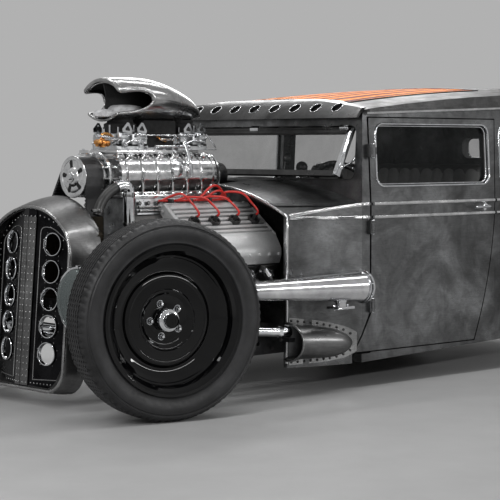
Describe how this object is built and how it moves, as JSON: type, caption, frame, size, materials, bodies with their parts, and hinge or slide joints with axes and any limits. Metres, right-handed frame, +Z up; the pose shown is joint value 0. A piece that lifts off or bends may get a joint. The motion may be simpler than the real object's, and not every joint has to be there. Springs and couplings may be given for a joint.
{
  "type": "hot rod",
  "caption": "Chopped two-door sedan hot rod on a bare frame, with an open supercharged engine, a pierced grille in a bright shell, a beam front axle and steered wheels.",
  "frame": {"origin": "on the ground, at the centre of the box round the four tyres", "axes": "+X forward, +Y to the car's left, +Z up"},
  "size_m": [3.453, 1.84, 1.2368],
  "materials": {
    "raw_body": "bare burnished body steel, dark and cloudy",
    "dark_frame": "satin black",
    "roof_paint": "orange and dark paint in plain licks",
    "clear_glass": "clear",
    "chrome_trim": "polished, a little dulled",
    "tyre_black": "matt",
    "wheel_paint": "gloss black",
    "engine_iron": "oily cast iron",
    "alloy": "cast and polished",
    "belt_rubber": "matt, ribbed",
    "brass_parts": "dull brass",
    "black_trim": "matt black",
    "red_wire": "satin red",
    "exhaust_steel": "polished",
    "seat_leather": "dark grey hide, rolled and pleated",
    "lamp_red": "ribbed red lens"
  },
  "bodies": {
    "car": {"visor": "raw_body", "cowl": "raw_body", "roof": "raw_body", "roof_insert": "roof_paint", "quarter_panel_left": "raw_body", "quarter_panel_right": "raw_body", "tail_panel": "raw_body", "quarter_glass": "clear_glass", "rear_glass": "clear_glass", "windscreen_glass": "clear_glass", "windscreen_frame": "chrome_trim", "frame": "dark_frame", "floor_pan": "dark_frame", "front_axle": "chrome_trim", "front_spring": "dark_frame", "radius_rods": "chrome_trim", "rear_axle": "engine_iron", "rear_suspension": "dark_frame", "driveline": "engine_iron", "engine_block": "engine_iron", "valve_covers": "alloy", "intake_manifold": "alloy", "blower": "alloy", "pulleys": "alloy", "blower_belt": "belt_rubber", "carburetors": "alloy", "scoop": "alloy", "distributor": "black_trim", "plug_wires": "red_wire", "water_neck": "chrome_trim", "grille_shell": "raw_body", "grille_insert": "raw_body", "radiator": "brass_parts", "headlights": "chrome_trim", "headlight_lenses": "clear_glass", "exhaust": "exhaust_steel", "blisters": "raw_body", "dashboard": "raw_body", "front_seat": "seat_leather", "rear_seat": "seat_leather", "shifter": "black_trim", "tail_lamps": "lamp_red"},
    "door_left": {"door_left": "raw_body", "door_glass_left": "clear_glass"},
    "door_right": {"door_right": "raw_body", "door_glass_right": "clear_glass"},
    "knuckle_left": {"knuckle_left": "engine_iron"},
    "knuckle_right": {"knuckle_right": "engine_iron"},
    "tie_rod": {"tie_rod": "chrome_trim"},
    "steering_wheel": {"steering_wheel": "black_trim"},
    "front_wheel_left": {"wheel_front_left": "wheel_paint", "tyre_front_left": "tyre_black"},
    "front_wheel_right": {"wheel_front_right": "wheel_paint", "tyre_front_right": "tyre_black"},
    "rear_wheel_left": {"wheel_rear_left": "wheel_paint", "tyre_rear_left": "tyre_black"},
    "rear_wheel_right": {"wheel_rear_right": "wheel_paint", "tyre_rear_right": "tyre_black"}
  },
  "joints": [
    {"name": "door_left_hinge", "type": "hinge", "parent": "car", "child": "door_left", "pos_m": [0.24042, 0.64, 0.6], "axis": [0, 0, -1], "range_deg": [0, 62]},
    {"name": "door_right_hinge", "type": "hinge", "parent": "car", "child": "door_right", "pos_m": [0.24042, -0.64, 0.6], "axis": [0, 0, 1], "range_deg": [0, 62]},
    {"name": "steer_left", "type": "hinge", "parent": "car", "child": "knuckle_left", "pos_m": [1.34842, 0.6, 0.355], "axis": [0, 0, 1], "range_deg": [-6, 34]},
    {"name": "steer_right", "type": "hinge", "parent": "car", "child": "knuckle_right", "pos_m": [1.34842, -0.6, 0.355], "axis": [0, 0, 1], "range_deg": [-6, 34]},
    {"name": "tie_rod_slide", "type": "slide", "parent": "car", "child": "tie_rod", "axis": [0, 1, 0], "range_m": [-0.09, 0.02]},
    {"name": "steering_wheel_turn", "type": "hinge", "parent": "car", "child": "steering_wheel", "pos_m": [0.01324, 0.3, 0.74335], "axis": [-0.8488, 0, 0.5288], "range_deg": [-72.1, 408.1]},
    {"name": "front_left_spin", "type": "hinge", "parent": "knuckle_left", "child": "front_wheel_left", "pos_m": [1.37019, 0.68733, 0.355], "axis": [0.2419, 0.9703, 0], "continuous": true},
    {"name": "front_right_spin", "type": "hinge", "parent": "knuckle_right", "child": "front_wheel_right", "pos_m": [1.32665, -0.68733, 0.355], "axis": [0.2419, 0.9703, 0], "continuous": true},
    {"name": "rear_left_spin", "type": "hinge", "parent": "car", "child": "rear_wheel_left", "pos_m": [-1.34158, 0.8, 0.385], "axis": [0, 1, 0], "continuous": true},
    {"name": "rear_right_spin", "type": "hinge", "parent": "car", "child": "rear_wheel_right", "pos_m": [-1.34158, -0.8, 0.385], "axis": [0, 1, 0], "continuous": true}
  ],
  "couplings": [
    {"joint": "steer_right", "follows": "steer_left", "ratio": 1},
    {"joint": "tie_rod_slide", "follows": "steer_left", "m_per_rad": -0.1455},
    {"joint": "steering_wheel_turn", "follows": "steer_left", "ratio": 12}
  ]
}
